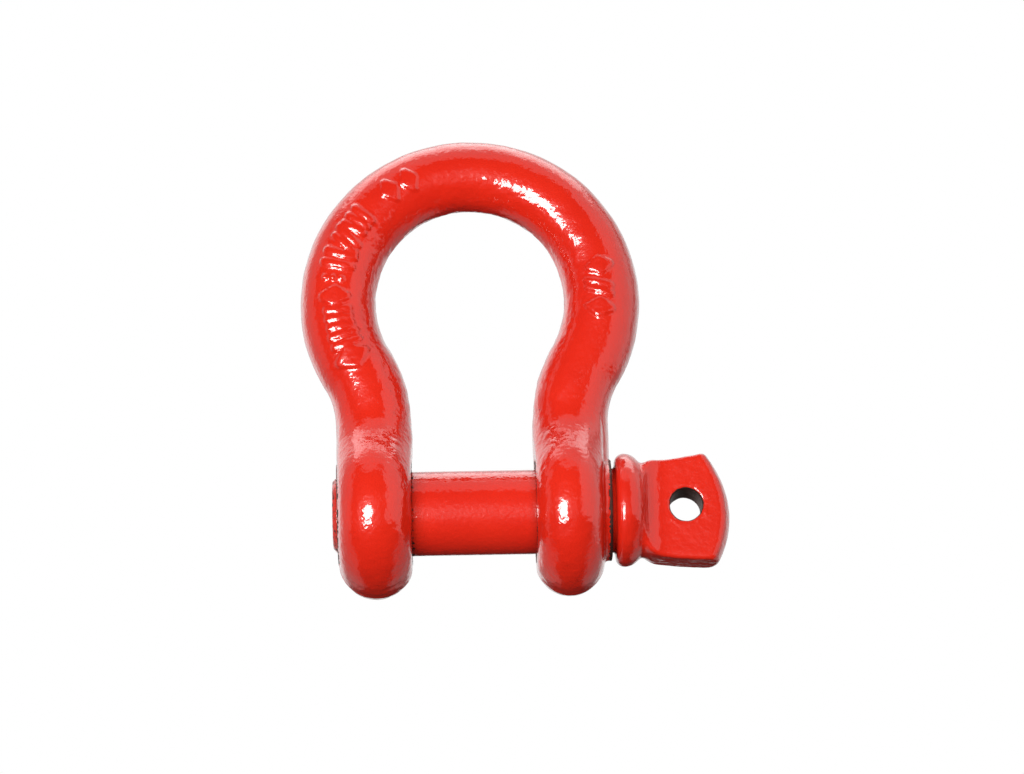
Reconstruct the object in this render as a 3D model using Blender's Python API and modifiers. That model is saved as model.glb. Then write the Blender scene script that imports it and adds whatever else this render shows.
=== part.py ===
"""Screw pin bow shackle, 16 mm (5/8 in) size: a forged bow and the screw pin that closes its jaw.

Metres, +Z up. The shackle hangs by its crown: the origin is on the crown's inner face, where a hook
bears. The pin lies along X below it, its lug towards +X and its thread towards -X. Y is the depth.
"""

import math

import bmesh
import bpy
from mathutils import Vector

MM = 0.001

# Bow
CROWN_STOCK = 16.3 * MM  # diameter of the round bar over the crown
LEG_STOCK = 17.2 * MM  # and in the legs
INSIDE_LENGTH = 60.5 * MM  # from the top of the pin to the inside of the crown
INSIDE_WIDTH = 42.9 * MM  # the bow's widest gap
JAW = 26.9 * MM  # gap between the eyes
RETURN_RADIUS = 25.0 * MM  # the reverse bend that brings the bow's sides in to the eyes
EYE_RADIUS = 19.05 * MM
EYE_FLAT_RADIUS = 10.6 * MM  # where an eye's side starts to round over to its rim
EYE_OUTER_X = {-1: 30.3 * MM, 1: 29.1 * MM}  # outer faces of the tapped eye and the plain eye
JAW_TRIM = 0.3 * MM  # how much is taken off the eyes to leave flat rings facing the jaw
NECK_BLEND = 6.0 * MM  # reach of the fillet between a leg and its eye
BOSS_RADIUS = 11.4 * MM
BOSS_X = 30.5 * MM  # the raised ring round the plain hole, which the collar faces
COUNTERSINK_RADIUS = 11.2 * MM
BORE_RADIUS = 10.2 * MM  # of the plain hole, and of the counterbore before the tapped hole's thread

# Screw pin
PIN_RADIUS = 9.35 * MM
THREAD_PITCH = 2.54 * MM
THREAD_DEPTH = 1.56 * MM
THREAD_PLAY = 0.35 * MM  # how much wider the tapped hole is than the thread, in radius
PIN_TIP = -31.2 * MM
TIP_RADIUS = 7.5 * MM  # of the tip's flat end, inside its chamfer
SHOULDER = -13.75 * MM  # where the plain shank ends and the thread starts
SHANK_END = 27.0 * MM  # where the shank's own solid meets the head's, inside the plain bore
COUNTERBORE_END = -15.7 * MM
COLLAR_FACE = 31.3 * MM
COLLAR_THICKNESS = 5.5 * MM
COLLAR_RADIUS = 12.6 * MM
LUG_UPPER_CORNER = (51.9 * MM, 12.0 * MM)  # x and height: the end was sheared a little askew
LUG_LOWER_CORNER = (53.9 * MM, -12.5 * MM)
LUG_BULGE = 3.8 * MM  # how far the end stands out from the line between the corners
LUG_SWAY = 0.6 * MM  # how far the upper side hollows in and the lower side bulges out
LUG_NECK_RADIUS = 10.2 * MM
LUG_HALF_THICKNESS = 5.4 * MM
LUG_FLAT_START = 43.2 * MM  # where the scoop from the round neck runs out into the flat
LUG_HOLE_X = 46.9 * MM
LUG_HOLE_RADIUS = 3.6 * MM

# Mesh and fit
AROUND = 32  # points round a section of the bow
PIN_SEGMENTS = 48
THREAD_SEGMENTS = 24
GAP = 0.3 * MM  # between faces that meet
OVERRUN = 3.0 * MM  # how far a cutter runs past what it cuts
MERGE = 0.00001

# Places that follow from the sizes above
PIN_Z = -(INSIDE_LENGTH + PIN_RADIUS)
LEG_X = (JAW / 2 + EYE_OUTER_X[-1]) / 2
CROWN_RADIUS = (INSIDE_WIDTH + CROWN_STOCK) / 2
CROWN_CENTRE_Z = CROWN_STOCK / 2 - CROWN_RADIUS
COLLAR_END = COLLAR_FACE + COLLAR_THICKNESS

PAINT = (0.72, 0.02, 0.012)


def clear_scene():
    for obj in list(bpy.data.objects):
        bpy.data.objects.remove(obj)


def painted(name, shade):
    """A red painted steel, slightly lighter or darker from piece to piece."""
    material = bpy.data.materials.new(name)
    material.use_nodes = True
    shader = material.node_tree.nodes["Principled BSDF"]
    shader.inputs["Base Color"].default_value = (*(channel * shade for channel in PAINT), 1)
    shader.inputs["Roughness"].default_value = 0.22
    shader.inputs["Metallic"].default_value = 0.0
    return material


def add_mesh(name, verts, faces, collection):
    mesh = bpy.data.meshes.new(name)
    mesh.from_pydata(verts, [], faces)
    bm = bmesh.new()
    bm.from_mesh(mesh)
    bmesh.ops.recalc_face_normals(bm, faces=bm.faces)
    bm.to_mesh(mesh)
    bm.free()
    obj = bpy.data.objects.new(name, mesh)
    collection.objects.link(obj)
    return obj


def as_cutter(obj):
    obj.hide_render = True
    obj.display_type = "WIRE"
    return obj


def boolean(obj, operation, other):
    modifier = obj.modifiers.new(f"{operation.lower()} {other.name}", "BOOLEAN")
    modifier.operation = operation
    modifier.object = other


def along_pin(obj, x=0.0):
    """Turns an object's own Z onto the pin's axis, at distance x along it."""
    obj.rotation_euler = (0, math.pi / 2, 0)
    obj.location = (x, 0, PIN_Z)
    return obj


def cylinder(name, radius, x_start, x_end, collection):
    """A plain round bar along the pin's axis."""
    bm = bmesh.new()
    bmesh.ops.create_cone(
        bm, cap_ends=True, segments=PIN_SEGMENTS, radius1=radius, radius2=radius, depth=x_end - x_start
    )
    mesh = bpy.data.meshes.new(name)
    bm.to_mesh(mesh)
    bm.free()
    obj = bpy.data.objects.new(name, mesh)
    collection.objects.link(obj)
    return along_pin(obj, (x_start + x_end) / 2)


def arc(centre, radius, start, end, steps):
    """Points on an arc, with both ends. Angles are in radians, from the first axis to the second."""
    angles = [start + (end - start) * i / steps for i in range(steps + 1)]
    return [(centre[0] + radius * math.cos(a), centre[1] + radius * math.sin(a)) for a in angles]


# ---- Bow -------------------------------------------------------------------------------------------


def smooth_min(a, b, reach):
    """The smaller of two distances, blended where they differ by less than reach."""
    mix = max(reach - abs(a - b), 0.0) / reach
    return min(a, b) - mix * mix * reach / 4


def outside_eye(side, point):
    """Distance, below zero inside, from the surface of an eye. point is measured from the pin's axis at the
    jaw's middle: x away from that, y in depth, z up."""
    inner = JAW / 2 - JAW_TRIM
    half = (EYE_OUTER_X[side] - inner) / 2
    rim = max(math.hypot(point.y, point.z) - EYE_FLAT_RADIUS, 0.0) * half / (EYE_RADIUS - EYE_FLAT_RADIUS)
    return math.hypot(point.x - inner - half, rim) - half


def outside_forging(side, point, from_centreline, bar_radius):
    """Distance from the surface of the leg and its eye. The fillet between them stops at the plane of the
    eye's outer face, and below the eye's top nothing passes the jaw's plane."""
    leg = from_centreline - bar_radius
    filleted = smooth_min(outside_eye(side, point), leg, NECK_BLEND)
    body = min(leg, max(filleted, point.x - EYE_OUTER_X[side]))
    return max(body, JAW / 2 - point.x) if point.z < EYE_RADIUS else body


def reach(side, origin, direction, bar_radius):
    """How far the forging's surface is from a point on the leg's centreline, found by halving."""
    near, far = 0.0, 1.5 * EYE_RADIUS
    while far - near > 1e-7:
        middle = (near + far) / 2
        if outside_forging(side, origin + direction * middle, middle, bar_radius) < 0:
            near = middle
        else:
            far = middle
    return near


def half_centreline():
    """From the crown to the +X leg: (x, z, tilt) of each section, tilt being how far it has turned from the
    crown's upright plane. The crown's arc meets the return bend on the line between their centres."""
    return_x = LEG_X + RETURN_RADIUS
    drop = math.sqrt((CROWN_RADIUS + RETURN_RADIUS) ** 2 - return_x**2)
    turn = math.pi / 2 + math.atan2(drop, return_x)
    return_z = CROWN_CENTRE_Z - drop
    crown_steps, return_steps, leg_steps = 15, 7, 6
    stations = []
    for i in range(crown_steps + 1):
        tilt = turn * i / crown_steps
        x = CROWN_RADIUS * math.sin(tilt)
        stations.append((x, CROWN_CENTRE_Z + CROWN_RADIUS * math.cos(tilt), tilt))
    for i in range(1, return_steps + 1):
        tilt = turn + (math.pi / 2 - turn) * i / return_steps
        x = return_x - RETURN_RADIUS * math.sin(tilt)
        stations.append((x, return_z - RETURN_RADIUS * math.cos(tilt), tilt))
    for i in range(1, leg_steps + 1):
        stations.append((LEG_X, return_z + (PIN_Z - return_z) * i / leg_steps, math.pi / 2))
    return stations


def ring(side, origin, normal_tilt, spread, bar_radius):
    """Points round one section. origin is measured from the pin's axis at the jaw's middle. normal_tilt turns
    the section's outward line from up, through sideways, to down. spread crowds the points towards the eye's
    rim, which is far from the centreline. An eye's underside is cut by cones instead of planes."""
    points = []
    for i in range(AROUND):
        angle = 2 * math.pi * i / AROUND
        flat = Vector((math.cos(angle), spread * math.sin(angle))).normalized()
        direction = Vector((flat.x * math.sin(normal_tilt), flat.y, flat.x * math.cos(normal_tilt)))
        point = origin + direction * reach(side, origin, direction, bar_radius)
        points.append((side * point.x, point.y, PIN_Z + point.z))
    return points


def eye_bottom(side, drop_angle):
    """Points round an eye below the pin's axis, on a cone about the downward direction."""
    origin = Vector((LEG_X, 0, 0))
    points = []
    for i in range(AROUND):
        angle = 2 * math.pi * i / AROUND
        flat = Vector((math.cos(angle), 2 * math.sin(angle))).normalized() * math.sin(drop_angle)
        direction = Vector((flat.x, flat.y, -math.cos(drop_angle)))
        point = origin + direction * reach(side, origin, direction, LEG_STOCK / 2)
        points.append((side * point.x, point.y, PIN_Z + point.z))
    return points


def bow_rings(side):
    """All the rings from the crown down to the underside of one eye."""
    rings = []
    for x, z, tilt in half_centreline():
        height = z - PIN_Z
        spread = 1 + max(1 - height / EYE_RADIUS, 0)
        share = min(tilt / (math.pi / 2), 1)
        bar_radius = (CROWN_STOCK + (LEG_STOCK - CROWN_STOCK) * share) / 2
        rings.append(ring(side, Vector((x, 0, height)), tilt, spread, bar_radius))
    bottom_steps = 9
    for i in range(1, bottom_steps):
        rings.append(eye_bottom(side, math.pi / 2 * (1 - i / bottom_steps)))
    return rings


def pole(side):
    return (side * LEG_X, 0, PIN_Z - EYE_RADIUS)


def bow_blank(collection):
    """The forging before it is drilled: a loft from one eye's underside, over the crown, to the other's."""
    rings = bow_rings(-1)[::-1][:-1] + bow_rings(1)
    verts = [point for ring in rings for point in ring]
    verts += [pole(-1), pole(1)]
    first_pole, last_pole = len(verts) - 2, len(verts) - 1
    faces = []
    for r in range(len(rings) - 1):
        for i in range(AROUND):
            j = (i + 1) % AROUND
            faces.append((r * AROUND + i, r * AROUND + j, (r + 1) * AROUND + j, (r + 1) * AROUND + i))
    last = (len(rings) - 1) * AROUND
    for i in range(AROUND):
        j = (i + 1) % AROUND
        faces.append((first_pole, i, j))
        faces.append((last_pole, last + i, last + j))
    return add_mesh("bow", verts, faces, collection)


def make_bow(parts, cutters):
    bow = bow_blank(parts)
    boss = cylinder("boss", BOSS_RADIUS, LEG_X, BOSS_X + OVERRUN, cutters)
    boolean(bow, "UNION", as_cutter(boss))
    spot_face = cylinder("spot face", BOSS_RADIUS + GAP, BOSS_X, BOSS_X + 2 * OVERRUN, cutters)
    bore = cylinder("plain bore", BORE_RADIUS, 0, BOSS_X + OVERRUN, cutters)
    counterbore = cylinder("counterbore", BORE_RADIUS, COUNTERBORE_END, 0, cutters)
    inside, outside = JAW / 2 + OVERRUN, JAW / 2 - OVERRUN / 2
    small, large = COUNTERSINK_RADIUS - OVERRUN, COUNTERSINK_RADIUS + OVERRUN / 2
    profile = [(0, inside), (small, inside), (large, outside), (large, -outside), (small, -inside), (0, -inside)]
    countersinks = turned("countersinks", profile, cutters)
    tapped = thread_rod("tapped bore", THREAD_PLAY, PIN_TIP - OVERRUN, SHOULDER, cutters)
    for cutter in (spot_face, bore, counterbore, countersinks, tapped):
        boolean(bow, "DIFFERENCE", as_cutter(cutter))
    bow.data.shade_smooth()
    bow.data.set_sharp_from_angle(angle=math.radians(35))
    bow.data.materials.append(painted("bow paint", 1.0))
    return bow


# ---- Screw pin -------------------------------------------------------------------------------------


def thread_profile():
    """(share of a pitch, depth below the crest) down one turn of a 60 degree thread."""
    flank = THREAD_DEPTH * math.tan(math.radians(30)) / THREAD_PITCH
    crest = 1 / 8
    return ((0, 0), (crest, 0), (crest + flank, THREAD_DEPTH), (1 - flank, THREAD_DEPTH))


def thread_rod(name, play, x_start, x_end, collection):
    """A right-hand threaded rod along the pin's axis, longer than x_start to x_end at both ends. Its rows of
    points follow the helix, so that after one turn each row meets the one a profile further on."""
    profile = thread_profile()
    turns = math.ceil((x_end - x_start) / THREAD_PITCH) + 2
    rows = turns * len(profile)
    start = SHOULDER + THREAD_PITCH * (math.floor((x_start - SHOULDER) / THREAD_PITCH) - 1)

    def point(step, row):
        share, depth = profile[row % len(profile)]
        angle = 2 * math.pi * step / THREAD_SEGMENTS
        x = start + THREAD_PITCH * (row // len(profile) + share + step / THREAD_SEGMENTS)
        radius = PIN_RADIUS + play - depth
        return (-radius * math.cos(angle), -radius * math.sin(angle), x)

    verts, index = [], {}
    for step in range(THREAD_SEGMENTS):
        for row in range(rows + (len(profile) if step == 0 else 0)):
            index[step, row] = len(verts)
            verts.append(point(step, row))
    for row in range(rows):
        index[THREAD_SEGMENTS, row] = index[0, row + len(profile)]
    faces = []
    for step in range(THREAD_SEGMENTS):
        for row in range(rows - 1):
            corners = ((step, row), (step + 1, row), (step + 1, row + 1), (step, row + 1))
            faces.append([index[corner] for corner in corners])
    # Each end is a fan from the axis to the last row and to the step where the helix begins.
    low_edge = [index[0, row] for row in range(len(profile), -1, -1)]
    low_edge += [index[step, 0] for step in range(1, THREAD_SEGMENTS)]
    high_edge = [index[step, rows - 1] for step in range(THREAD_SEGMENTS)]
    high_edge += [index[0, row] for row in range(rows + len(profile) - 1, rows - 1, -1)]
    for edge, x in ((low_edge, start), (high_edge, start + THREAD_PITCH * (turns + 1))):
        verts.append((0, 0, x))
        for a, b in zip(edge, edge[1:] + edge[:1]):
            faces.append((len(verts) - 1, a, b))
    return along_pin(add_mesh(name, verts, faces, collection))


def turned(name, profile, collection):
    """A profile of (radius, distance along the pin), from the +X end to the -X end, turned round the pin."""
    mesh = bpy.data.meshes.new(name)
    edges = [(i, i + 1) for i in range(len(profile) - 1)]
    mesh.from_pydata([(radius, 0, x) for radius, x in profile], edges, [])
    obj = bpy.data.objects.new(name, mesh)
    collection.objects.link(obj)
    screw = obj.modifiers.new("turn", "SCREW")
    screw.steps = screw.render_steps = PIN_SEGMENTS
    screw.use_merge_vertices = True
    screw.merge_threshold = MERGE
    screw.use_smooth_shade = True
    return along_pin(obj)


def make_shank(parts):
    """The plain shank, from the thread's shoulder to just inside the plain bore's outer end."""
    lead = 0.4 * MM
    profile = [(0, SHANK_END), (PIN_RADIUS, SHANK_END), (PIN_RADIUS, SHOULDER + lead)]
    profile += [(PIN_RADIUS - lead, SHOULDER), (0, SHOULDER)]
    shank = turned("pin_shank", profile, parts)
    shank.data.materials.append(painted("shank paint", 0.9))
    return shank


def make_thread(parts, cutters):
    """The threaded end: the threaded rod cut to length, with a chamfered tip."""
    thread = thread_rod("pin_thread", 0.0, PIN_TIP, SHOULDER, parts)
    outer = PIN_RADIUS + OVERRUN
    chamfer_end = PIN_TIP + outer - TIP_RADIUS
    profile = [(0, SHOULDER - GAP), (outer, SHOULDER - GAP), (outer, chamfer_end)]
    profile += [(TIP_RADIUS, PIN_TIP), (0, PIN_TIP)]
    blank = turned("thread blank", profile, cutters)
    boolean(thread, "INTERSECT", as_cutter(blank))
    thread.data.materials.append(painted("thread paint", 0.6))
    return thread


def plate(name, outline, half_thickness, collection):
    """A flat outline made solid. Its own Z, the way it is thick, still has to be turned."""
    curve = bpy.data.curves.new(name, "CURVE")
    curve.dimensions = "2D"
    curve.fill_mode = "BOTH"
    curve.extrude = half_thickness
    spline = curve.splines.new("POLY")
    spline.points.add(len(outline) - 1)
    for point, (x, y) in zip(spline.points, outline):
        point.co = (x, y, 0, 1)
    spline.use_cyclic_u = True
    source = bpy.data.objects.new(name, curve)
    collection.objects.link(source)
    graph = bpy.context.evaluated_depsgraph_get()
    mesh = bpy.data.meshes.new_from_object(source.evaluated_get(graph))
    bpy.data.objects.remove(source)
    bm = bmesh.new()
    bm.from_mesh(mesh)
    bmesh.ops.remove_doubles(bm, verts=bm.verts, dist=MERGE)
    bmesh.ops.recalc_face_normals(bm, faces=bm.faces)
    bm.to_mesh(mesh)
    bm.free()
    obj = bpy.data.objects.new(name, mesh)
    collection.objects.link(obj)
    return obj


def bulge(first, last, height, steps):
    """Points on a curve from first to last that stands height off the straight line, to its right."""
    first, last = Vector(first), Vector(last)
    chord = last - first
    right = Vector((chord.y, -chord.x)).normalized()
    points = []
    for i in range(steps + 1):
        share = i / steps
        points.append(tuple(first + chord * share + right * height * 4 * share * (1 - share)))
    return points


def lug_outline():
    """Seen from the front: curved sides that widen to two corners, and a bulging end."""
    start = COLLAR_END - COLLAR_THICKNESS / 2
    lower = bulge((start, -LUG_NECK_RADIUS), LUG_LOWER_CORNER, LUG_SWAY, 6)
    end = bulge(LUG_LOWER_CORNER, LUG_UPPER_CORNER, LUG_BULGE, 10)
    upper = bulge(LUG_UPPER_CORNER, (start, LUG_NECK_RADIUS), -LUG_SWAY, 6)
    return lower + end[1:] + upper[1:]


def lug_side_outline():
    """Seen from above: the round neck's thickness, then a scoop down to the flat blade."""
    scoop = LUG_FLAT_START - COLLAR_END
    rise = LUG_NECK_RADIUS - LUG_HALF_THICKNESS
    edge = [(COLLAR_FACE, LUG_NECK_RADIUS)]
    for x, y in arc((1, 1), 1, math.pi, 1.5 * math.pi, 6):
        edge.append((COLLAR_END + scoop * x, LUG_HALF_THICKNESS + rise * y))
    edge.append((LUG_FLAT_START + EYE_RADIUS, LUG_HALF_THICKNESS))
    return [(x, -y) for x, y in edge] + edge[::-1]


def make_collar(collection):
    """The collar with its rounded rim, and the stub of shank that fills the plain bore's outer end."""
    front, back = COLLAR_THICKNESS * 0.35, COLLAR_THICKNESS * 0.65
    outer = arc((COLLAR_RADIUS - back, COLLAR_END - back), back, math.pi / 2, 0, 7)
    inner = arc((COLLAR_RADIUS - front, COLLAR_FACE + front), front, 0, -math.pi / 2, 5)
    profile = [(0, COLLAR_END), *outer, *inner[1:], (PIN_RADIUS, COLLAR_FACE)]
    profile += [(PIN_RADIUS, SHANK_END + GAP), (0, SHANK_END + GAP)]
    return turned("pin_head", profile, collection)


def make_head(parts, cutters):
    """The collar and the flattened lug, with its hole for a bar or a lashing wire."""
    lug = plate("lug", lug_outline(), EYE_RADIUS, cutters)
    lug.rotation_euler = (math.pi / 2, 0, 0)
    lug.location = (0, 0, PIN_Z)
    thickness = plate("lug thickness", lug_side_outline(), EYE_RADIUS, cutters)
    thickness.location = (0, 0, PIN_Z)
    far = LUG_FLAT_START + EYE_RADIUS
    cone = [(0, far), (2 * EYE_RADIUS, far), (LUG_NECK_RADIUS, COLLAR_END)]
    cone += [(LUG_NECK_RADIUS, COLLAR_FACE + GAP), (0, COLLAR_FACE + GAP)]
    neck = turned("lug neck", cone, cutters)
    for limit in (thickness, neck):
        boolean(lug, "INTERSECT", as_cutter(limit))
    hole = cylinder("lug hole", LUG_HOLE_RADIUS, -EYE_RADIUS, EYE_RADIUS, cutters)
    hole.rotation_euler = (math.pi / 2, 0, 0)
    hole.location = (LUG_HOLE_X, 0, PIN_Z)
    head = make_collar(parts)
    boolean(head, "UNION", as_cutter(lug))
    boolean(head, "DIFFERENCE", as_cutter(hole))
    head.data.materials.append(painted("head paint", 0.95))
    return head


def main():
    clear_scene()
    parts = bpy.data.collections.new("bow shackle")
    cutters = bpy.data.collections.new("cutters")
    for collection in (parts, cutters):
        bpy.context.scene.collection.children.link(collection)
    make_bow(parts, cutters)
    make_shank(parts)
    make_thread(parts, cutters)
    make_head(parts, cutters)


main()
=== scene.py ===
"""Looks of the screw pin bow shackle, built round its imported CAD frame.

The forged bow and the screw pin are meshed from distance functions, in millimetres, and then given the
small unevenness of a forging under enamel. Each piece stands for its CAD solids and rides on their body.
"""

import math

import bpy
import numpy as np
from mathutils import Matrix, Vector, noise


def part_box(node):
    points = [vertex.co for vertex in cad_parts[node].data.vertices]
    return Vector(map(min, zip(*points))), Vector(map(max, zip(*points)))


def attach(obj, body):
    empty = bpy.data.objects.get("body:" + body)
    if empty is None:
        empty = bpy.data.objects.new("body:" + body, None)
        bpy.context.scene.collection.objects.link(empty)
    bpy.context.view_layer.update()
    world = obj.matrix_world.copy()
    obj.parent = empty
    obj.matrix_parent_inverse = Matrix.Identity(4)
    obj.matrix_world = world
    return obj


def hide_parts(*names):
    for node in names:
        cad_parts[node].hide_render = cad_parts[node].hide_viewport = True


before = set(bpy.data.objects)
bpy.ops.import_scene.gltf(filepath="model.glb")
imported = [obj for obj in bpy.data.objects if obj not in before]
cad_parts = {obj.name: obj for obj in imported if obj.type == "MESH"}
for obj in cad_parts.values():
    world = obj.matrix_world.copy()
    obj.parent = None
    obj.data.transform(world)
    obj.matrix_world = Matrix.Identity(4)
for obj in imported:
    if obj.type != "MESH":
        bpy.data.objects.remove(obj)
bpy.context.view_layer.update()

MM = 0.001

# Sizes of the bow, in millimetres, as in the CAD
CROWN_BAR_RADIUS = 8.15
LEG_BAR_RADIUS = 8.6
JAW_HALF = 13.45
LEG_X = 21.875
CROWN_RADIUS = 29.6  # of the bar's centreline
RETURN_RADIUS = 25.0
EYE_RADIUS = 19.05
EYE_FLAT_RADIUS = 10.6  # where an eye's side starts to round over to its rim
EYE_INNER_X = 13.15
EYE_OUTER_LEFT = 30.3
EYE_OUTER_RIGHT = 29.1
NECK_BLEND = 6.0
BOSS_RADIUS = 11.4
BOSS_X = 30.5
BORE_RADIUS = 10.2
COUNTERSINK_RADIUS = 11.2

# Sizes of the screw pin
PIN_RADIUS = 9.35
THREAD_PITCH = 2.54
THREAD_DEPTH = 1.56
THREAD_FLANK = 0.3546  # share of a pitch
THREAD_PLAY = 0.35
THREAD_RUN_OUT = 1.2
PIN_TIP = -31.2
TIP_RADIUS = 7.5
SHOULDER = -13.75
COUNTERBORE_END = -15.7
COLLAR_FACE = 31.3
COLLAR_END = 36.8
COLLAR_RADIUS = 12.6
COLLAR_INNER_ROUND = 2.0
COLLAR_OUTER_ROUND = 3.4
LUG_NECK_RADIUS = 10.2
LUG_START = 34.05
LUG_UPPER_CORNER = (51.9, 12.0)
LUG_LOWER_CORNER = (53.9, -12.5)
LUG_BULGE = 3.8
LUG_SWAY = 0.6  # the upper side hollows in and the lower side bulges out
LUG_HALF_THICKNESS = 5.4
LUG_END_ROUND = 1.6  # how far the end falls back from its middle to its faces
LUG_FLAT_START = 43.2
LUG_HOLE_X = 46.9
LUG_HOLE_RADIUS = 3.6

# Places that follow from the sizes above and from the frame
shank_low, shank_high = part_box("pin_shank")
PIN_Z = (shank_low.z + shank_high.z) / 2 / MM
CROWN_CENTRE_Z = CROWN_BAR_RADIUS - CROWN_RADIUS
RETURN_X = LEG_X + RETURN_RADIUS
RETURN_DROP = math.sqrt((CROWN_RADIUS + RETURN_RADIUS) ** 2 - RETURN_X**2)
RETURN_Z = CROWN_CENTRE_Z - RETURN_DROP
RETURN_TURN = math.atan2(RETURN_DROP, RETURN_X)
CROWN_LENGTH = CROWN_RADIUS * (math.pi / 2 + RETURN_TURN)

# Grid cells of the two meshes
BOW_CELL = 0.48
PIN_CELL = 0.31
PIN_MESH_END = 56.2  # the net's margin takes it past the lug's bulge

# Height of the forged skin, in millimetres: (wavelength, height, seed) of each layer of noise
BOW_SWELL = ((9.0, 0.11, 1), (4.2, 0.05, 2))
BOW_HAMMERING = ((2.8, 0.09, 3), (1.4, 0.06, 4))
PIN_SWELL = ((7.0, 0.07, 5),)
PIN_SKIN = ((2.4, 0.05, 6), (1.2, 0.03, 7))
BOW_SINK = 0.23  # keeps the swell and the parting line inside the CAD's box
HAMMERING_SINK = 0.04
PIN_SINK = 0.04
PARTING_HEIGHT = 0.14
PARTING_WIDTH = 0.8
CHIP_HEIGHT = 0.3
THREAD_UNPAINTED_AND_SHADE = 0.56  # how dark the thread and the tip are: unpainted thread, with painted shade of the gap beside the left eye and of the tip's recess
SHANK_SKIN = 0.15  # share of the pin's skin that the turned shank has


# ---- Meshing ---------------------------------------------------------------------------------------


def smooth_min(a, b, reach):
    """The smaller of two distances, blended where they differ by less than reach."""
    mix = np.maximum(reach - np.abs(a - b), 0) / reach
    return np.minimum(a, b) - mix * mix * reach / 4


def smooth_max(a, b, reach):
    return -smooth_min(-a, -b, reach)


def gradient(distance, points, step=0.02):
    """Slope of a distance function at each point, by central differences."""
    slopes = []
    for axis in np.eye(3):
        ahead, behind = points + axis * step, points - axis * step
        slopes.append((distance(*ahead.T) - distance(*behind.T)) / (2 * step))
    return np.stack(slopes, axis=1)


def surface_net(distance, low, high, cell):
    """Vertices and quads of the surface where distance is zero: one vertex in each grid cell it crosses."""
    axes = [np.arange(a - 2 * cell, b + 3 * cell, cell) for a, b in zip(low, high)]
    values = distance(*np.meshgrid(*axes, indexing="ij"))
    shape = np.array(values.shape)
    total = np.zeros((*shape, 3))
    count = np.zeros(shape)
    units = np.eye(3, dtype=int)
    crossings = []
    for axis in range(3):
        step, side_a, side_b = units[axis], units[(axis + 1) % 3], units[(axis + 2) % 3]
        near = values[: shape[0] - step[0], : shape[1] - step[1], : shape[2] - step[2]]
        far = values[step[0] :, step[1] :, step[2] :]
        at = np.argwhere((near < 0) != (far < 0))
        start, end = near[tuple(at.T)], far[tuple(at.T)]
        place = at + step * (start / (start - end))[:, None]
        around = [at, at - side_a, at - side_a - side_b, at - side_b]
        for corner in around:
            np.add.at(total, tuple(corner.T), place)
            np.add.at(count, tuple(corner.T), 1)
        crossings.append((around, start < 0))
    filled = count > 0
    index = np.full(shape, -1)
    index[filled] = np.arange(filled.sum())
    points = total[filled] / count[filled][:, None] * cell + np.array([a[0] for a in axes])
    quads = []
    for around, outward in crossings:
        corners = np.stack([index[tuple(corner.T)] for corner in around], axis=1)
        quads.append(np.where(outward[:, None], corners, corners[:, ::-1]))
    return points, np.concatenate(quads)


def relaxed(points, quads):
    """Each point moved to the middle of its neighbours."""
    total, count = np.zeros_like(points), np.zeros(len(points))
    for a in range(4):
        first, second = quads[:, a], quads[:, (a + 1) % 4]
        for one, other in ((first, second), (second, first)):
            np.add.at(total, one, points[other])
            np.add.at(count, one, 1)
    return total / count[:, None]


def meshed(distance, low, high, cell):
    """An even quad mesh that lies on the surface, with the unit normal at each point."""
    points, quads = surface_net(distance, low, high, cell)
    for step in range(5):
        if step in (1, 2):
            points = relaxed(points, quads)
        slope = gradient(distance, points)
        steepness = np.maximum((slope**2).sum(axis=1), 0.05)
        move = slope * (distance(*points.T) / steepness)[:, None]
        points = points - np.clip(move, -cell / 2, cell / 2)
    slope = gradient(distance, points)
    return points, quads, slope / np.linalg.norm(slope, axis=1)[:, None]


def waves(points, wavelength, seed):
    """Smooth noise of about -1 to 1 at each point."""
    shift = Vector((seed * 17.3, seed * 5.7, seed * 11.1))
    scale = 1 / wavelength
    return np.array([noise.noise(Vector(p) * scale + shift) for p in points.tolist()])


def layered(points, layers):
    """Sum of several layers of noise."""
    return sum(height * waves(points, wavelength, seed) for wavelength, height, seed in layers)


def add_piece(name, points, quads, unpainted_and_shade):
    """A smooth mesh object in metres, with a point attribute that says where it is unpainted steel and where
    dark painted shade goes.
    """
    mesh = bpy.data.meshes.new(name)
    mesh.from_pydata((points * MM).tolist(), [], quads.tolist())
    mesh.shade_smooth()
    attribute = mesh.attributes.new("unpainted_and_shade", "FLOAT", "POINT")
    attribute.data.foreach_set("value", unpainted_and_shade.astype(np.float32))
    obj = bpy.data.objects.new(name, mesh)
    bpy.context.scene.collection.objects.link(obj)
    return obj


# ---- Thread ----------------------------------------------------------------------------------------


def thread_depth(x, y, height):
    """How deep a right-hand thread is below its crest, at a point round the pin's axis."""
    turn = np.arctan2(-y, height) / (2 * math.pi)
    share = ((x - SHOULDER) / THREAD_PITCH - turn - 1 / 16 + 0.5) % 1 - 0.5
    from_crest = np.abs(share) - 1 / 16
    return np.clip(from_crest / THREAD_FLANK, 0, 1) * THREAD_DEPTH


# ---- Bow -------------------------------------------------------------------------------------------


def bow_path(x, z):
    """For points near the bar: arc length from the crown, and offset outwards from the centreline."""
    side = np.abs(x)
    tilt = np.arctan2(side, z - CROWN_CENTRE_Z)
    on_crown = tilt <= math.pi / 2 + RETURN_TURN
    on_return = z > RETURN_Z
    turned = RETURN_TURN - np.arctan2(z - RETURN_Z, np.maximum(RETURN_X - side, 1))
    return_length = RETURN_RADIUS * RETURN_TURN
    along = CROWN_LENGTH + np.where(on_return, RETURN_RADIUS * turned, return_length + RETURN_Z - z)
    outward = np.where(on_return, RETURN_RADIUS - np.hypot(side - RETURN_X, z - RETURN_Z), side - LEG_X)
    along = np.where(on_crown, CROWN_RADIUS * tilt, along)
    outward = np.where(on_crown, np.hypot(side, z - CROWN_CENTRE_Z) - CROWN_RADIUS, outward)
    return along, outward


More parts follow.
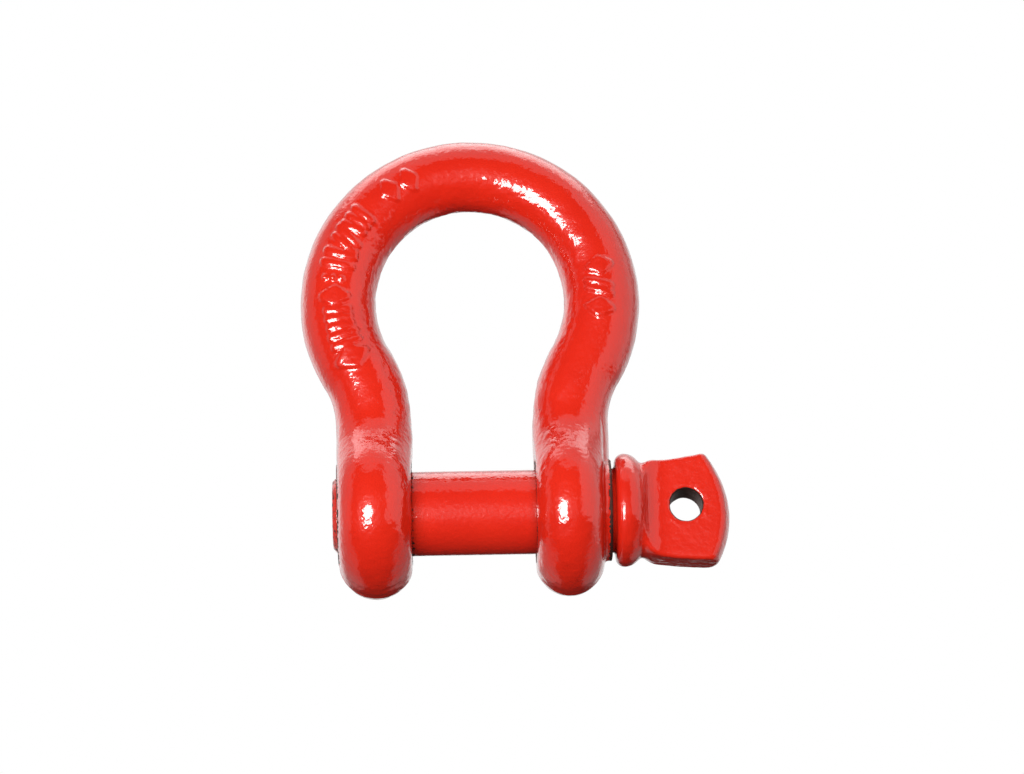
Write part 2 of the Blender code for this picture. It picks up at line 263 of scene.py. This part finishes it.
def bar_distance(x, y, z):
    """Distance from the surface of the bent round bar."""
    along, outward = bow_path(x, z)
    share = np.minimum(along / (CROWN_RADIUS * math.pi / 2), 1)
    radius = CROWN_BAR_RADIUS + (LEG_BAR_RADIUS - CROWN_BAR_RADIUS) * share
    below = np.minimum(z - PIN_Z, 0)
    return np.sqrt(outward**2 + y**2 + below**2) - radius


def eye_distance(side, from_axis, outer_x):
    """Distance from an eye: a disc with flat faces that rounds over to its rim."""
    half = (outer_x - EYE_INNER_X) / 2
    rim = np.maximum(from_axis - EYE_FLAT_RADIUS, 0) * half / (EYE_RADIUS - EYE_FLAT_RADIUS)
    return np.hypot(side - EYE_INNER_X - half, rim) - half


def forging_distance(x, y, z):
    """Distance from the bow before it is drilled."""
    side, height = np.abs(x), z - PIN_Z
    from_axis = np.hypot(y, height)
    outer_x = np.where(x < 0, EYE_OUTER_LEFT, EYE_OUTER_RIGHT)
    bar = bar_distance(x, y, z)
    filleted = smooth_min(eye_distance(side, from_axis, outer_x), bar, NECK_BLEND)
    body = np.minimum(bar, smooth_max(filleted, side - outer_x, 0.8))
    boss = smooth_max(from_axis - BOSS_RADIUS, np.maximum(x - BOSS_X, LEG_X - x), 0.8)
    body = smooth_min(body, boss, 0.8)
    lean = 0.06 * np.maximum(height - EYE_FLAT_RADIUS, 0)
    above = np.maximum(height - EYE_RADIUS - NECK_BLEND, 0)
    return smooth_max(body, JAW_HALF - side - lean - above, 0.5)


def bow_distance(x, y, z):
    """Distance from the finished bow, with its plain hole, tapped hole and countersinks."""
    height = z - PIN_Z
    from_axis = np.hypot(y, height)
    threaded = PIN_RADIUS + THREAD_PLAY - thread_depth(x, y, height)
    radius = np.where(x > COUNTERBORE_END, BORE_RADIUS, threaded)
    hole = np.where(x > COUNTERBORE_END, 1, 0.6) * (from_axis - radius)
    sink = (from_axis - COUNTERSINK_RADIUS - JAW_HALF + np.abs(x)) * math.sqrt(0.5)
    return smooth_max(forging_distance(x, y, z), -smooth_min(hole, sink, 0.4), 0.6)


# Generic raised marks: strokes in a mark's own plane, (along, across) to (along, across)
DIAMOND = (
    (0, -2.8, 1.7, 0),
    (1.7, 0, 0, 2.8),
    (0, 2.8, -1.7, 0),
    (-1.7, 0, 0, -2.8),
    (0, -0.6, 0, 0.6),
)
PAIR = ((-1.1, -2.9, -1.1, 2.9), (1.1, -2.9, 1.1, 2.9))
SLANT = ((-1.9, -2.9, 0.1, 2.9), (0.1, -2.9, 2.1, 2.9))
PIPS = ((0, -2.4, 0, -2.4), (0, 0, 0, 0), (0, 2.4, 0, 2.4))
BARS = ((-1.9, -2.5, -1.9, 2.5), (0, -2.5, 0, 2.5), (1.9, -2.5, 1.9, 2.5))
MARK_HEIGHT = 0.5
STROKE_RADIUS = 0.55
STROKE_EDGE = 0.55
# (arc length from the crown, below zero on the left; offset outwards; shape; size)
MARKS = (
    (-13.6, 0.3, DIAMOND, 0.85),
    (-18.4, 0.4, DIAMOND, 0.85),
    (-28.4, 0.6, BARS, 1.0),
    (-33.6, 0.6, SLANT, 1.0),
    (-38.0, 0.7, PAIR, 1.1),
    (-42.4, 1.2, PIPS, 0.8),
    (-46.6, 0.5, DIAMOND, 1.0),
    (-51.6, 0.1, BARS, 1.0),
    (-56.6, 0.0, PAIR, 1.0),
    (-61.0, 0.3, DIAMOND, 1.15),
    (40.4, 0.0, DIAMOND, 0.9),
    (45.2, -0.7, SLANT, 0.9),
    (50.2, -0.5, DIAMOND, 0.95),
)


def stroke_distance(a, b, stroke):
    """Distance in the mark's plane from a straight stroke."""
    start_a, start_b, end_a, end_b = stroke
    run_a, run_b = end_a - start_a, end_b - start_b
    length = max(run_a**2 + run_b**2, 1e-9)
    share = np.clip(((a - start_a) * run_a + (b - start_b) * run_b) / length, 0, 1)
    return np.hypot(a - start_a - share * run_a, b - start_b - share * run_b)


def raised_marks(points):
    """Height of the raised marks on the bow's front."""
    x, y, z = points.T
    along, outward = bow_path(x, z)
    along = along * np.where(x < 0, -1, 1)
    height = np.zeros(len(points))
    for place, offset, shape, size in MARKS:
        a, b = (along - place) / size, (outward - offset) / size
        for stroke in shape:
            inside = STROKE_RADIUS + STROKE_EDGE - stroke_distance(a, b, stroke)
            share = np.clip(inside / STROKE_EDGE, 0, 1)
            height = np.maximum(height, MARK_HEIGHT * share * share * (3 - 2 * share))
    return np.where(y < 0, height, 0)


def bow_relief(points):
    """How far the bow's skin stands off the ideal shape: rougher inwards, smooth on the turned boss."""
    x, y, z = points.T
    from_axis = np.hypot(y, z - PIN_Z)
    drilled = (from_axis < COUNTERSINK_RADIUS) & (z < PIN_Z + COUNTERSINK_RADIUS)
    outward = bow_path(x, z)[1]
    rough = np.clip(0.6 - outward / 13, 0.4, 1)
    turned_boss = np.clip((BOSS_X - 1.2 - x) / 1.5, 0, 1)
    rough = rough * np.where(from_axis < BOSS_RADIUS + 0.5, turned_boss, 1)
    swell = layered(points, BOW_SWELL) - BOW_SINK
    hammered = rough * (layered(points, BOW_HAMMERING) - HAMMERING_SINK)
    parting = PARTING_HEIGHT * np.exp(-((y / PARTING_WIDTH) ** 2)) * (np.abs(x) > JAW_HALF + 1)
    relief = swell + hammered + parting + raised_marks(points)
    return np.where(drilled, 0, relief)


def make_bow():
    """The bow, unpainted in its bores, with painted shade darkening its countersinks, the faces round its
    holes and the boss's end.
    """
    half_width = CROWN_RADIUS + LEG_BAR_RADIUS
    low = (-half_width, -EYE_RADIUS, PIN_Z - EYE_RADIUS)
    high = (half_width, EYE_RADIUS, 2 * CROWN_BAR_RADIUS)
    points, quads, normals = meshed(bow_distance, low, high, BOW_CELL)
    from_axis = np.hypot(points[:, 1], points[:, 2] - PIN_Z)
    # Unpainted steel in the bores, and painted shade in the countersinks and on the faces round the holes,
    # where the gaps round the pin lie in shadow
    hole_steel_and_shade = (from_axis < COUNTERSINK_RADIUS + 0.2) & (np.abs(points[:, 0]) > JAW_HALF - 1)
    # Painted shade: the boss's end is darkened where the collar shades it
    boss_end_shade = (points[:, 0] > BOSS_X - 0.45) & (from_axis < BOSS_RADIUS)
    points = points + normals * bow_relief(points)[:, None]
    bow = add_piece("forged_bow", points, quads, hole_steel_and_shade | boss_end_shade)
    bow.data.materials.append(enamel("bow enamel", 0.15, 0.3))
    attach(bow, "bow")
    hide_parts("bow")


# ---- Screw pin -------------------------------------------------------------------------------------


def collar_distance(x, radius):
    """Distance from the collar, whose rim is rounded more on the lug's side."""
    inner = COLLAR_FACE + COLLAR_INNER_ROUND - x
    outer = x - (COLLAR_END - COLLAR_OUTER_ROUND)
    near_inner = inner > outer
    rounding = np.where(near_inner, COLLAR_INNER_ROUND, COLLAR_OUTER_ROUND)
    sideways = np.where(near_inner, inner, outer)
    rim = radius - COLLAR_RADIUS + rounding
    corner = np.hypot(np.maximum(sideways, 0), np.maximum(rim, 0))
    return corner + np.minimum(np.maximum(sideways, rim), 0) - rounding


def lug_distance(x, y, height):
    """Distance from the lug: a round neck scooped down to a flat blade with a bulging, askew end."""
    share = (x - LUG_START) / (LUG_UPPER_CORNER[0] - LUG_START)
    sway = 4 * LUG_SWAY * share * (1 - share)
    upper = height - LUG_NECK_RADIUS - (LUG_UPPER_CORNER[1] - LUG_NECK_RADIUS) * share + sway
    share = (x - LUG_START) / (LUG_LOWER_CORNER[0] - LUG_START)
    sway = 4 * LUG_SWAY * share * (1 - share)
    lower = -height - LUG_NECK_RADIUS + (LUG_LOWER_CORNER[1] + LUG_NECK_RADIUS) * share - sway
    share = (height - LUG_LOWER_CORNER[1]) / (LUG_UPPER_CORNER[1] - LUG_LOWER_CORNER[1])
    end_x = LUG_LOWER_CORNER[0] + (LUG_UPPER_CORNER[0] - LUG_LOWER_CORNER[0]) * share
    rounded = LUG_END_ROUND * (y / LUG_HALF_THICKNESS) ** 2
    end = x - end_x - 4 * LUG_BULGE * share * (1 - share) + rounded
    scoop_x = np.minimum(x - LUG_FLAT_START, 0) / (LUG_FLAT_START - COLLAR_END)
    scoop_y = np.minimum(np.abs(y) - LUG_NECK_RADIUS, 0) / (LUG_NECK_RADIUS - LUG_HALF_THICKNESS)
    faces = (1 - np.hypot(scoop_x, scoop_y)) * (LUG_NECK_RADIUS - LUG_HALF_THICKNESS)
    flare = np.maximum(x - COLLAR_END, 0) * 1.15
    neck = (np.hypot(y, height) - LUG_NECK_RADIUS - flare) * 0.66
    sides = smooth_max(smooth_max(upper, lower, 1), end * 0.9, 0.7)
    return smooth_max(smooth_max(sides, faces, 1.2), smooth_max(neck, LUG_START - x, 1), 1.6)


def pin_distance(x, y, z):
    """Distance from the screw pin."""
    height = z - PIN_Z
    radius = np.hypot(y, height)
    fade = np.clip((SHOULDER - x) / THREAD_RUN_OUT, 0, 1)
    rod = (radius - PIN_RADIUS + fade * thread_depth(x, y, height)) * np.where(x < SHOULDER, 0.6, 1)
    tip = np.maximum((radius - TIP_RADIUS - x + PIN_TIP) * math.sqrt(0.5), PIN_TIP - x)
    rod = smooth_max(smooth_max(rod, tip, 0.4), x - COLLAR_END, 0.4)
    collar = smooth_min(collar_distance(x, radius), rod, 0.8)
    head = smooth_min(collar, lug_distance(x, y, height), 1.8)
    hole = np.hypot(x - LUG_HOLE_X, height) - LUG_HOLE_RADIUS
    return smooth_max(head, -hole, 0.8)


def pin_relief(points):
    """How far the pin's skin stands off the ideal shape: little on the turned shank, more on the head."""
    x, y, z = points.T
    on_head = np.clip((x - COLLAR_FACE) / 1.5, 0, 1)
    from_hole = np.hypot(x - LUG_HOLE_X, z - PIN_Z) - LUG_HOLE_RADIUS
    swell = (layered(points, PIN_SWELL) - PIN_SINK) * on_head
    skin = layered(points, PIN_SKIN) * (SHANK_SKIN + (1 - SHANK_SKIN) * on_head)
    rim = np.exp(-(((from_hole - 0.9) / 0.6) ** 2)) * (np.abs(y) > LUG_HALF_THICKNESS - 1.2)
    chips = CHIP_HEIGHT * np.maximum(waves(points, 1.0, 8), -0.15) * rim
    return swell + skin + chips * (x > LUG_FLAT_START)


def make_pin():
    """The whole screw pin in one piece, unpainted in the lug's hole, and dark on its thread and tip:
    unpainted thread with painted shade of the gap beside the left eye.
    """
    low = (PIN_TIP, -COLLAR_RADIUS, PIN_Z - COLLAR_RADIUS)
    high = (PIN_MESH_END, COLLAR_RADIUS, PIN_Z + COLLAR_RADIUS)
    points, quads, normals = meshed(pin_distance, low, high, PIN_CELL)
    x, y, z = points.T
    from_hole = np.hypot(x - LUG_HOLE_X, z - PIN_Z) - LUG_HOLE_RADIUS
    in_hole = (x > LUG_FLAT_START) * np.clip((0.5 - from_hole) / 0.4, 0, 1)
    # Painted shade: from just inside the left eye's jaw face out to the tip, the pin is darkened for the
    # shadowed gap and recess, over thread that is also unpainted
    thread = THREAD_UNPAINTED_AND_SHADE * np.clip((SHOULDER + 0.9 - x) / 0.3, 0, 1)
    points = points + normals * pin_relief(points)[:, None]
    pin = add_piece("screw_pin", points, quads, np.maximum(in_hole, thread))
    pin.data.materials.append(enamel("pin enamel", 0.12, 0.42))
    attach(pin, "pin")
    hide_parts("pin_shank", "pin_head", "pin_thread")


# ---- Materials -------------------------------------------------------------------------------------

# Colours, linear
ENAMEL = (0.82, 0.0225, 0.0075, 1)
ENAMEL_DEEP = (0.77, 0.019, 0.0065, 1)
SPECK = (0.10, 0.012, 0.008, 1)
# Dark steel colour, used both for unpainted steel and as painted shade in the gaps
STEEL_AND_SHADE = (0.11, 0.06, 0.05, 1)

# Orange peel and grain of the enamel: (wavelength in millimetres, height in metres)
PEEL = (1.0, 0.00009)
GRAIN = (0.35, 0.00002)


def node(tree, kind, inputs=(), **settings):
    """A shader node with settings, and inputs given as values or as sockets to link."""
    made = tree.nodes.new("ShaderNode" + kind)
    for name, value in settings.items():
        setattr(made, name, value)
    for name, value in dict(inputs).items():
        if isinstance(value, bpy.types.NodeSocket):
            tree.links.new(value, made.inputs[name])
        else:
            made.inputs[name].default_value = value
    return made


def mix_colour(tree, share, first, second):
    """First colour where share is 0 and second where it is 1."""
    made = node(tree, "Mix", data_type="RGBA")
    for socket, value in ((0, share), (6, first), (7, second)):
        if isinstance(value, bpy.types.NodeSocket):
            tree.links.new(value, made.inputs[socket])
        else:
            made.inputs[socket].default_value = value
    return made.outputs[2]


def ramp(tree, value, low, high, start=0.0, end=1.0):
    """Value mapped smoothly from low..high to start..end."""
    inputs = {"Value": value, "From Min": low, "From Max": high, "To Min": start, "To Max": end}
    return node(tree, "MapRange", inputs, interpolation_type="SMOOTHSTEP").outputs[0]


def texture(tree, place, wavelength, detail=2.0):
    """Noise with a wavelength in millimetres."""
    inputs = {"Vector": place, "Scale": 1 / (wavelength * MM), "Detail": detail}
    return node(tree, "TexNoise", inputs).outputs["Fac"]


def specks(tree, place, spacing, radius, chance):
    """Small spots, one at most in each cell of the spacing, both in millimetres."""
    cells = node(tree, "TexVoronoi", {"Vector": place, "Scale": 1 / (spacing * MM)})
    spot = ramp(tree, cells.outputs["Distance"], radius / spacing, 0.5 * radius / spacing)
    red = node(tree, "SeparateColor", {"Color": cells.outputs["Color"]}).outputs[0]
    chosen = node(tree, "Math", {0: red, 1: chance}, operation="LESS_THAN").outputs[0]
    return node(tree, "Math", {0: spot, 1: chosen}, operation="MULTIPLY").outputs[0]


def bumps(tree, place, layer, under=None):
    """Fine unevenness that only the light sees, on top of the normal under it."""
    wavelength, height = layer
    inputs = {"Height": texture(tree, place, wavelength, 1.0), "Distance": height, "Strength": 1.0}
    if under is not None:
        inputs["Normal"] = under
    return node(tree, "Bump", inputs).outputs[0]


def enamel(name, sheen, sheen_rough):
    """Glossy red enamel over forged steel: orange peel, a few inclusions, and dark steel where masked, which
    is unpainted steel in places and painted shade in the gaps round the pin elsewhere.
    """
    material = bpy.data.materials.new(name)
    material.use_nodes = True
    tree = material.node_tree
    shader = tree.nodes["Principled BSDF"]
    place = node(tree, "TexCoord").outputs["Object"]
    # The mask brings in the dark steel colour: unpainted steel, and painted shade in the shadowed gaps and on
    # the boss's end
    unpainted_and_shade_mask = node(tree, "Attribute", attribute_name="unpainted_and_shade").outputs["Fac"]
    ragged = node(tree, "Math", {0: texture(tree, place, 1.1), 1: unpainted_and_shade_mask}, operation="ADD").outputs[0]
    unpainted_and_shade = ramp(tree, ragged, 1.05, 1.25)
    cloud = ramp(tree, texture(tree, place, 14.0, 3.0), 0.3, 0.7)
    paint = mix_colour(tree, cloud, ENAMEL_DEEP, ENAMEL)
    dirt = specks(tree, place, 5.0, 0.22, 0.22)
    colour = mix_colour(tree, dirt, paint, SPECK)
    colour = mix_colour(tree, unpainted_and_shade, colour, STEEL_AND_SHADE)
    tree.links.new(colour, shader.inputs["Base Color"])
    tree.links.new(ramp(tree, unpainted_and_shade, 0, 1, sheen_rough, 0.6), shader.inputs["Roughness"])
    tree.links.new(ramp(tree, unpainted_and_shade, 0, 1, 0.0, 0.8), shader.inputs["Metallic"])
    tree.links.new(ramp(tree, unpainted_and_shade, 0, 1, 1.0, 0.0), shader.inputs["Coat Weight"])
    shader.inputs["Coat Roughness"].default_value = 0.1
    shader.inputs["Coat IOR"].default_value = 1.5
    shader.inputs["Specular IOR Level"].default_value = sheen
    peel = bumps(tree, place, PEEL)
    tree.links.new(bumps(tree, place, GRAIN, peel), shader.inputs["Normal"])
    tree.links.new(peel, shader.inputs["Coat Normal"])
    return material


# ---- Stage -----------------------------------------------------------------------------------------


def direction(azimuth, elevation):
    """Unit vector from the object: azimuth 0 is towards -Y and 90 towards +X, in degrees."""
    a, e = math.radians(azimuth), math.radians(elevation)
    return Vector((math.sin(a) * math.cos(e), -math.cos(a) * math.cos(e), math.sin(e)))


def floor_material():
    """Matt and pale, with a little glow of its own so that it stays pale away from the lights."""
    material = bpy.data.materials.new("pale floor")
    material.use_nodes = True
    shader = material.node_tree.nodes["Principled BSDF"]
    shader.inputs["Base Color"].default_value = (0.9, 0.9, 0.9, 1)
    shader.inputs["Roughness"].default_value = 0.9
    shader.inputs["Specular IOR Level"].default_value = 0.0
    shader.inputs["Emission Color"].default_value = (1, 1, 1, 1)
    shader.inputs["Emission Strength"].default_value = 0.45
    return material


def softbox(name, azimuth, elevation, distance, size, radiance):
    """A rectangular area light that faces the shackle, as bright as radiance says whatever its size."""
    light = bpy.data.lights.new(name, "AREA")
    light.shape = "RECTANGLE"
    light.size, light.size_y = size
    light.energy = radiance * math.pi * size[0] * size[1]
    obj = bpy.data.objects.new(name, light)
    bpy.context.scene.collection.objects.link(obj)
    towards = direction(azimuth, elevation)
    obj.location = CENTRE + towards * distance
    obj.rotation_mode = "QUATERNION"
    obj.rotation_quaternion = towards.to_track_quat("Z", "Y")
    obj.visible_camera = False
    return obj


def window(value, low, high, soft=3.0):
    """1 between low and high, falling to 0 over soft degrees outside them."""
    rise = np.clip((value - low) / soft + 1, 0, 1)
    fall = np.clip((high - value) / soft + 1, 0, 1)
    return rise * fall


def studio_glow(azimuth, elevation):
    """What the gloss sees in each direction from the shackle: a dark room in front, a large softbox overhead
    that is brightest towards the back, one on the right, a reflector on the left and a white backdrop."""
    behind = 180 - np.abs(azimuth)
    backwards = -np.cos(np.radians(azimuth)) * np.cos(np.radians(elevation))
    glow = 0.02 + 0.9 * window(behind, 0, 52, 12) * window(elevation, -2, 60, 6)
    glow = glow + 0.55 * window(azimuth, -150, -78, 6) * window(elevation, -12, 48, 8)
    glow = np.maximum(glow, 1.1 * window(azimuth, 38, 114) * window(elevation, -14, 56))
    glow = np.maximum(glow, 0.4 * window(behind, 30, 85, 12) * window(elevation, -45, -8, 8))
    overhead = 0.85 + 2.1 * window(backwards, 0.03, 1, 0.12)
    return np.maximum(glow, overhead * window(elevation, 52, 90))


def ambient_glow(azimuth, elevation):
    """What the paint's own colour is lit by, besides the front lights."""
    return 0.12 + 0.15 * window(elevation, 20, 90, 40) + 0.06 * window(np.abs(azimuth), 60, 120, 30)


def light_dome(name, radius, glow_in):
    """A sphere round the shackle that the camera doesn't see, as bright in each direction as glow_in says."""
    around, up = 160, 80
    azimuths = [-180 + 360 * j / around for j in range(around)]
    elevations = [-90 + 180 * (i + 0.5) / up for i in range(up)]
    verts = [CENTRE + direction(a, e) * radius for e in elevations for a in azimuths]
    faces = []
    for i in range(up - 1):
        for j in range(around):
            k = (j + 1) % around
            faces.append((i * around + j, i * around + k, (i + 1) * around + k, (i + 1) * around + j))
    faces.append(tuple(range(around))[::-1])
    faces.append(tuple(range((up - 1) * around, up * around)))
    mesh = bpy.data.meshes.new(name)
    mesh.from_pydata(verts, [], faces)
    glow = glow_in(np.array(azimuths * up), np.repeat(elevations, around))
    mesh.attributes.new("glow", "FLOAT", "POINT").data.foreach_set("value", glow.astype(np.float32))
    material = bpy.data.materials.new(name)
    material.use_nodes = True
    tree = material.node_tree
    tree.nodes.clear()
    strength = node(tree, "Attribute", attribute_name="glow").outputs["Fac"]
    emission = node(tree, "Emission", {"Strength": strength})
    output = node(tree, "OutputMaterial")
    tree.links.new(emission.outputs[0], output.inputs["Surface"])
    material.cycles.emission_sampling = "NONE"
    mesh.materials.append(material)
    dome = bpy.data.objects.new(name, mesh)
    bpy.context.scene.collection.objects.link(dome)
    dome.visible_camera = dome.visible_shadow = False
    return dome


def make_floor():
    """A floor that is seen but that throws no light on the shackle."""
    mesh = bpy.data.meshes.new("floor")
    sides = ((-1, -1), (1, -1), (1, 1), (-1, 1))
    corners = [(FLOOR_HALF * x, FLOOR_HALF * y, FLOOR_Z) for x, y in sides]
    mesh.from_pydata(corners, [], [(0, 1, 2, 3)])
    floor = bpy.data.objects.new("floor", mesh)
    bpy.context.scene.collection.objects.link(floor)
    mesh.materials.append(floor_material())
    floor.visible_glossy = floor.visible_diffuse = False


def make_world():
    """A plain white background."""
    world = bpy.data.worlds.new("studio")
    bpy.context.scene.world = world
    world.use_nodes = True
    world.node_tree.nodes["Background"].inputs["Color"].default_value = (1, 1, 1, 1)
    world.node_tree.nodes["Background"].inputs["Strength"].default_value = 1.0


# Camera and floor, in degrees and metres
CENTRE = Vector((0.010, 0, -0.042))
CAMERA_AZIMUTH = -1.0
CAMERA_ELEVATION = -14.3446
CAMERA_ROLL = -1.2309
CAMERA_DISTANCE = 0.8547
CAMERA_LENS = 134.29
CAMERA_SLIDE = (-0.00095, 0.00083)
FLOOR_Z = -0.36
FLOOR_HALF = 4.0


def make_camera():
    """A long lens from a little below, rolled and slid slightly as the shackle is framed."""
    back = direction(CAMERA_AZIMUTH, CAMERA_ELEVATION)
    right = Vector((math.cos(math.radians(CAMERA_AZIMUTH)), math.sin(math.radians(CAMERA_AZIMUTH)), 0))
    up = back.cross(right)
    roll = math.radians(CAMERA_ROLL)
    right, up = right * math.cos(roll) + up * math.sin(roll), up * math.cos(roll) - right * math.sin(roll)
    location = CENTRE + back * CAMERA_DISTANCE + right * CAMERA_SLIDE[0] + up * CAMERA_SLIDE[1]
    camera = bpy.data.objects.new("camera", bpy.data.cameras.new("camera"))
    bpy.context.scene.collection.objects.link(camera)
    camera.data.lens = CAMERA_LENS
    camera.data.sensor_width = 36
    camera.matrix_world = Matrix.Translation(location) @ Matrix((right, up, back)).transposed().to_4x4()
    bpy.context.scene.camera = camera


def make_lights():
    """Domes and lamps, each for the gloss alone or for the paint's own colour alone."""
    light_dome("gloss_dome", 5.0, studio_glow).visible_diffuse = False
    light_dome("ambient_dome", 4.9, ambient_glow).visible_glossy = False
    softbox("front lamp", -25, -13, 0.9, (0.43, 0.38), 24.0).visible_diffuse = False
    softbox("front key", -25, -10, 1.0, (0.5, 0.5), 7.6).visible_glossy = False
    softbox("front fill", 3, -9, 1.3, (1.0, 0.8), 5.4).visible_glossy = False


bpy.context.scene.view_settings.view_transform = "Standard"
make_bow()
make_pin()
make_floor()
make_world()
make_lights()
make_camera()
